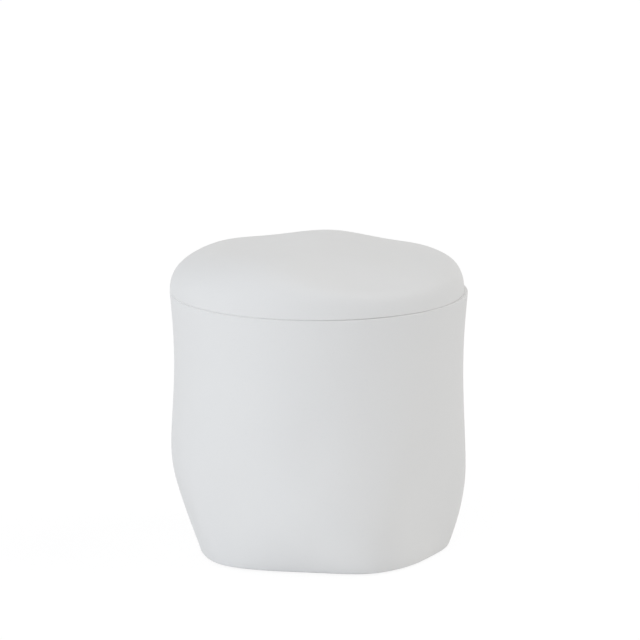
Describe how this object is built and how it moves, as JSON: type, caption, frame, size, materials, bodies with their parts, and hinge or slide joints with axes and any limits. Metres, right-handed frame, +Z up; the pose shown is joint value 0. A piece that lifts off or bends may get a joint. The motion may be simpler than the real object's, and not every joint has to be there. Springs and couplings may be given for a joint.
{
  "type": "cotton pad box",
  "caption": "Round matte white pot, softly hewn like a pebble, with a domed lift-off lid whose plug and seal ring sit in its mouth; it keeps cotton pads dry and to hand.",
  "frame": {"origin": "on the surface the box stands on, below the centre of the round mouth", "axes": "+Z up along the mouth's axis and the lid's lift; +X to the right and -Y to the front as the picture shows it"},
  "size_m": [0.1, 0.0999, 0.1069],
  "materials": {
    "pot_resin": "matte",
    "lid_resin": "matte",
    "seal_silicone": "matte",
    "foot_silicone": "matte"
  },
  "bodies": {
    "pot": {"pot": "pot_resin", "foot_front_left": "foot_silicone", "foot_front_right": "foot_silicone", "foot_back_left": "foot_silicone", "foot_back_right": "foot_silicone"},
    "lid": {"lid": "lid_resin", "lid_seal_ring": "seal_silicone"}
  },
  "joints": [
    {"name": "lid_lift", "type": "slide", "parent": "pot", "child": "lid", "axis": [0, 0, 1], "range_m": [0, 0.06]}
  ]
}
